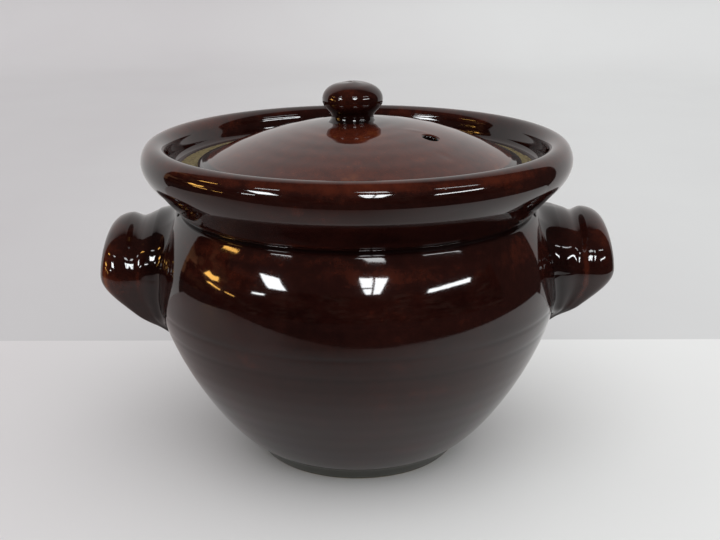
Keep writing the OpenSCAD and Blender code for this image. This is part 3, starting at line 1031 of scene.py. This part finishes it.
class BEANPOT_OT_set_stage(bpy.types.Operator):
    """Sets the pale table, the soft light, what the glaze mirrors, and the camera"""

    bl_idname = "bean_pot.set_stage"
    bl_label = "Set the stage"

    def table(self, stage):
        """The table in front of the white board, and a pale floor round it that only the camera sees."""
        pale = plain_surface("pale_table", stage.table, 0.55, -0.24, 0.10, -0.34)
        left, front, right, back = -0.68, -0.351, 0.50, stage.board_back
        edge = trace(
            (left, -0.285),
            ((-0.45, -0.32), (-0.2, front), (0.0, front), 12),
            ((0.2, front), (0.46, -0.2), (right, back), 16),
            ((left, back), 1),
        )
        sheet = [(x, y, 0.0) for x, y in edge]
        stage_mesh("table_top", sheet, [tuple(range(len(sheet)))], pale)

        under, level, radius, bend_top, top = -0.0006, 1.7, 2.3, 0.7, 1.9
        round_the_pot = 128
        rim = trace(
            (0.0, under),
            ((level, under), 20),
            ((2.1, under), (radius, 0.2), (radius, bend_top), 16),
            ((radius, top), 1),
        )
        points, faces = turn(rim[1:], round_the_pot)
        points.append((0.0, 0.0, under))
        faces += [(len(points) - 1, (j + 1) % round_the_pot, j) for j in range(round_the_pot)]
        paper = plain_surface("pale_paper", stage.paper, 0.8, -0.35, 0.35)
        sweep = stage_mesh("pale_sweep", points, [tuple(reversed(f)) for f in faces], paper)
        sweep.visible_glossy = sweep.visible_diffuse = sweep.visible_shadow = False

    def board(self, stage):
        """A glowing card that stands for the lit white board behind the pot. It is a painted reflection seen
        only in the glaze, with a painted fall of light that dims it towards its top.
        """
        left, right, back, fade, high = -0.55, 0.42, stage.board_back, 0.28, 1.05
        white = shining("glowing_board", (1.0, 0.975, 0.965), stage.wall, (fade, high))
        corners = [(left, back, 0.0), (right, back, 0.0), (right, back, high), (left, back, high)]
        only_in_glaze(stage_mesh("board_card", corners, [(0, 3, 2, 1)], white))

    def room(self):
        """A dim glowing band round the front, behind the long lamps. It is a painted reflection of the dim
        room, patchy like shelves, seen only in the glaze.
        """
        room_glow = shining("glowing_room", (0.80, 0.56, 0.44), 0.17, None, 5.0)
        low, high, away = -8, 20, 2.6
        points = [towards(a, e, away) for a in range(-85, 86, 10) for e in (low, high)]
        faces = [(i, i + 2, i + 3, i + 1) for i in range(0, len(points) - 2, 2)]
        only_in_glaze(stage_mesh("room_card", points, faces, room_glow))

    def long_lamps(self, stage):
        """Long lamps in front, as (azimuth, elevation) corners."""
        away = 2.2
        white = shining("lamp_white", (0.95, 0.98, 1.0), stage.lamps)
        soft_white = shining("lamp_soft_white", (0.95, 0.98, 1.0), 0.45 * stage.lamps)
        spans = {
            "lamp_left_low": ((-60, 25.5), (-51, 18.0), (-40, 19.0), (-47, 26.5)),
            "lamp_left_high": ((-60, 37.5), (-59, 36.0), (-45, 38.5), (-46, 40.5)),
            "lamp_middle_low": ((1.5, 33.5), (3.2, 27.0), (9.0, 27.0), (10.2, 33.2)),
            "lamp_middle_low_end": ((3.6, 26.0), (5.0, 21.5), (8.0, 21.5), (8.8, 26.0)),
            "lamp_middle_low_right": ((11.6, 33.2), (9.2, 21.5), (13.0, 21.8), (19.5, 32.5)),
            "lamp_middle_high": ((-1, 46), (8, 42), (20, 41), (18, 46)),
            "lamp_right_low": ((40, 17.6), (42, 20.2), (69, 19.2), (67, 17.0)),
            "lamp_right_high": ((47, 41.5), (48, 39.5), (72, 32.0), (71, 34.0)),
            "lamp_left_bar": ((-60, 12.0), (-59.5, 10.8), (-52, 11.6), (-52, 12.8)),
        }
        for name, corners in spans.items():
            mirror_card(name, corners, away, soft_white if name.endswith("high") else white)

    def warm_side(self, stage):
        """A glowing warm patch and a small warm lamp at the left, as (azimuth, elevation) corners. The patch
        is a painted reflection of a warm wall, seen only in the glaze.
        """
        patch_away, lamp_away = 2.3, 1.6
        glow = shining("glowing_warm_wall", (1.0, 0.46, 0.22), 0.60, None, 3.0)
        corners = ((-124, -4), (-118, 30), (-98, 34), (-84, 26), (-76, 12), (-84, -2))
        mirror_card("warm_wall_card", corners, patch_away, glow)
        gold = shining("lamp_gold", (1.0, 0.53, 0.12), stage.warm_lamp)
        glows = {
            "warm_lamp_wide": ((-95, 9.0), (-92, 12.0), (-88, 11.0), (-84, 12.2), (-83, 9.4), (-88, 8.4)),
            "warm_lamp_high": ((-92, 23.5), (-91, 25.5), (-80, 28.5), (-81, 27.0)),
            "warm_lamp_low": ((-91, 5.4), (-89, 6.4), (-80, 5.0), (-80, 4.2)),
            "warm_lamp_low_end": ((-77, 4.4), (-76, 5.0), (-70, 4.0), (-70, 3.4)),
        }
        for name, corners in glows.items():
            mirror_card(name, corners, lamp_away, gold)

    def world(self, stage):
        """Even pale light on what is matt, and a dim room for what is glossy."""
        world = bpy.data.worlds.new("studio")
        bpy.context.scene.world = world
        world.use_nodes = True
        tree = world.node_tree
        tree.nodes.clear()
        out = tree.nodes.new("ShaderNodeOutputWorld")
        ray = tree.nodes.new("ShaderNodeLightPath")
        even, room = tree.nodes.new("ShaderNodeBackground"), tree.nodes.new("ShaderNodeBackground")
        mix = tree.nodes.new("ShaderNodeMixShader")
        even.inputs["Color"].default_value = rgba(stage.ambient)
        room.inputs["Color"].default_value = rgba(stage.room)
        tree.links.new(ray.outputs["Is Glossy Ray"], mix.inputs["Fac"])
        tree.links.new(even.outputs["Background"], mix.inputs[1])
        tree.links.new(room.outputs["Background"], mix.inputs[2])
        tree.links.new(mix.outputs["Shader"], out.inputs["Surface"])

    def light(self, name, power, spread, azimuth, elevation):
        """A wide soft light from far away that leaves no mirror image."""
        data = bpy.data.lights.new(name, "SUN")
        data.energy, data.angle = power, math.radians(spread)
        lamp = bpy.data.objects.new(name, data)
        lamp.rotation_mode = "QUATERNION"
        place = towards(azimuth, elevation, 1)
        lamp.rotation_quaternion = (towards(0, 0, 0) - place).to_track_quat("-Z", "Y")
        lamp.visible_glossy = False
        bpy.context.scene.collection.objects.link(lamp)

    def camera(self, stage):
        """The camera at the photograph's place."""
        data = bpy.data.cameras.new("camera")
        data.lens, data.sensor_width = stage.lens, 36
        camera = bpy.data.objects.new("camera", data)
        camera.location = (stage.eye_right, -stage.eye_back, stage.eye_up)
        down = Matrix.Rotation(math.pi / 2 - stage.tilt, 4, "X")
        level = Matrix.Rotation(-stage.roll, 4, "Z")
        camera.matrix_world = Matrix.Translation(camera.location) @ down @ level
        bpy.context.scene.collection.objects.link(camera)
        bpy.context.scene.camera = camera

    def execute(self, context):
        stage = context.scene.bean_pot.stage
        self.table(stage)
        self.board(stage)
        self.room()
        self.long_lamps(stage)
        self.warm_side(stage)
        self.world(stage)
        self.light("overhead_light", stage.overhead, 100, 0, 80)
        self.light("front_light", stage.front, 80, 30, 60)
        self.light("fill_light", stage.fill, 80, -50, 60)
        self.camera(stage)
        context.scene.view_settings.view_transform = "Standard"
        return {"FINISHED"}


# ---------------------------------------------------------------- panel and main

STEPS = (
    BEANPOT_OT_throw_pot,
    BEANPOT_OT_pull_handles,
    BEANPOT_OT_throw_lid,
    BEANPOT_OT_throw_knob,
    BEANPOT_OT_set_stage,
)


class BEANPOT_PT_panel(bpy.types.Panel):
    """Lists the steps and the settings in the sidebar"""

    bl_idname = "BEANPOT_PT_panel"
    bl_label = "Bean pot"
    bl_space_type = "VIEW_3D"
    bl_region_type = "UI"
    bl_category = "Bean pot"

    def draw(self, context):
        settings = context.scene.bean_pot
        for step in STEPS:
            self.layout.operator(step.bl_idname)
        for name in ("pot", "handles", "lid", "glaze", "stage"):
            group = getattr(settings, name)
            box = self.layout.box()
            box.label(text=name.capitalize())
            for prop in group.bl_rna.properties:
                if prop.identifier not in ("rna_type", "name"):
                    box.prop(group, prop.identifier)


GROUPS = (PotSizes, HandleSizes, LidSizes, GlazeFinish, StageSettings, BeanPotSettings)
CLASSES = (*GROUPS, *STEPS, BEANPOT_PT_panel)


def register():
    """Makes the settings and the steps known to Blender."""
    for kind in CLASSES:
        bpy.utils.register_class(kind)
    bpy.types.Scene.bean_pot = PointerProperty(type=BeanPotSettings)


def unregister():
    """Takes the settings and the steps out again."""
    del bpy.types.Scene.bean_pot
    for kind in reversed(CLASSES):
        bpy.utils.unregister_class(kind)


def main():
    register()
    for step in STEPS:
        group, name = step.bl_idname.split(".")
        getattr(getattr(bpy.ops, group), name)()


if __name__ == "__main__":
    main()
